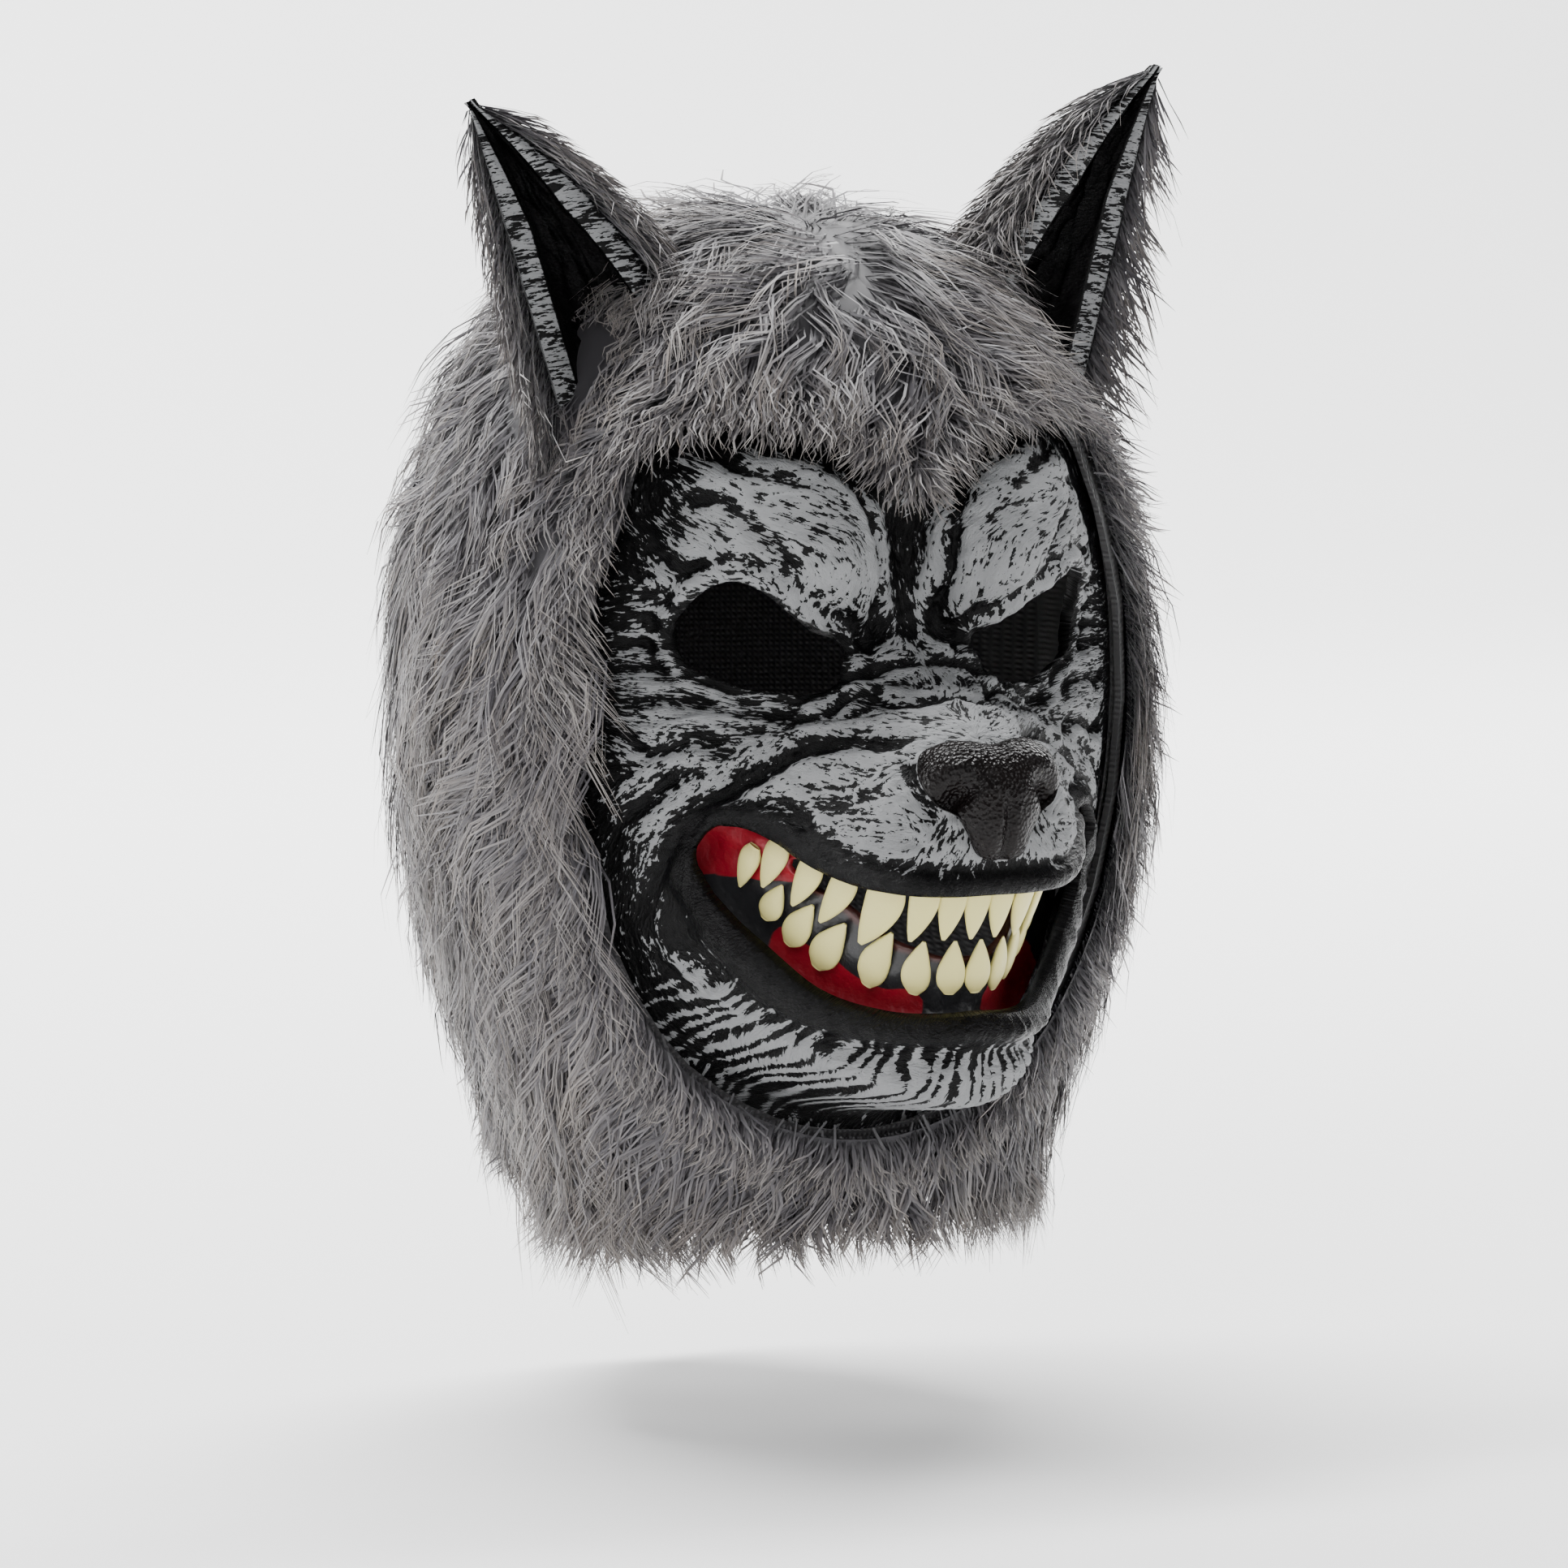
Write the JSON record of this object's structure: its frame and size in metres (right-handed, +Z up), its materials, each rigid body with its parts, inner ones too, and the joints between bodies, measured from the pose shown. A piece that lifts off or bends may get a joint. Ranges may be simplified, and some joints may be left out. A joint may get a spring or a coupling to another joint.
{
  "type": "werewolf mask",
  "caption": "Worn costume mask: a hollow moulded wolf face with eye holes and bared teeth, on a long-pile faux-fur hood with pointed ears, open at the neck.",
  "frame": {"origin": "inside of the hood's crown, where it rests on the top of the wearer's head", "axes": "+Z up through the crown, -Y the way the face looks, +X to the right of someone who faces the mask"},
  "size_m": [0.2197, 0.2689, 0.3332],
  "materials": {
    "face": "black moulding dry-brushed with grey paint",
    "nose": "glossy black",
    "gum": "red with black satin gums",
    "tooth": "matt cream yellow",
    "ear": "black moulding dry-brushed with grey paint",
    "backing": "knitted backing",
    "fur": "long grey pile with lighter tips"
  },
  "bodies": {
    "root": {"face_shell": "face", "nose": "nose", "gum_plate": "gum", "hood": "backing", "hood_fur": "fur", "ear_l": "ear", "ear_r": "ear", "ear_fur_l": "fur", "ear_fur_r": "fur", "tooth_upper_r2": "tooth", "tooth_upper_l2": "tooth", "tooth_upper_r3": "tooth", "tooth_upper_l3": "tooth", "tooth_upper_r4": "tooth", "tooth_upper_l4": "tooth", "tooth_upper_r5": "tooth", "tooth_upper_l5": "tooth", "tooth_upper_r6": "tooth", "tooth_upper_l6": "tooth", "tooth_upper_r7": "tooth", "tooth_upper_l7": "tooth", "tooth_upper_r8": "tooth", "tooth_upper_l8": "tooth", "tooth_upper_middle": "tooth", "tooth_lower_r1": "tooth", "tooth_lower_l1": "tooth", "tooth_lower_r2": "tooth", "tooth_lower_l2": "tooth", "tooth_lower_r3": "tooth", "tooth_lower_l3": "tooth", "tooth_lower_r4": "tooth", "tooth_lower_l4": "tooth", "tooth_lower_r5": "tooth", "tooth_lower_l5": "tooth", "tooth_lower_r6": "tooth", "tooth_lower_l6": "tooth"}
  },
  "joints": []
}
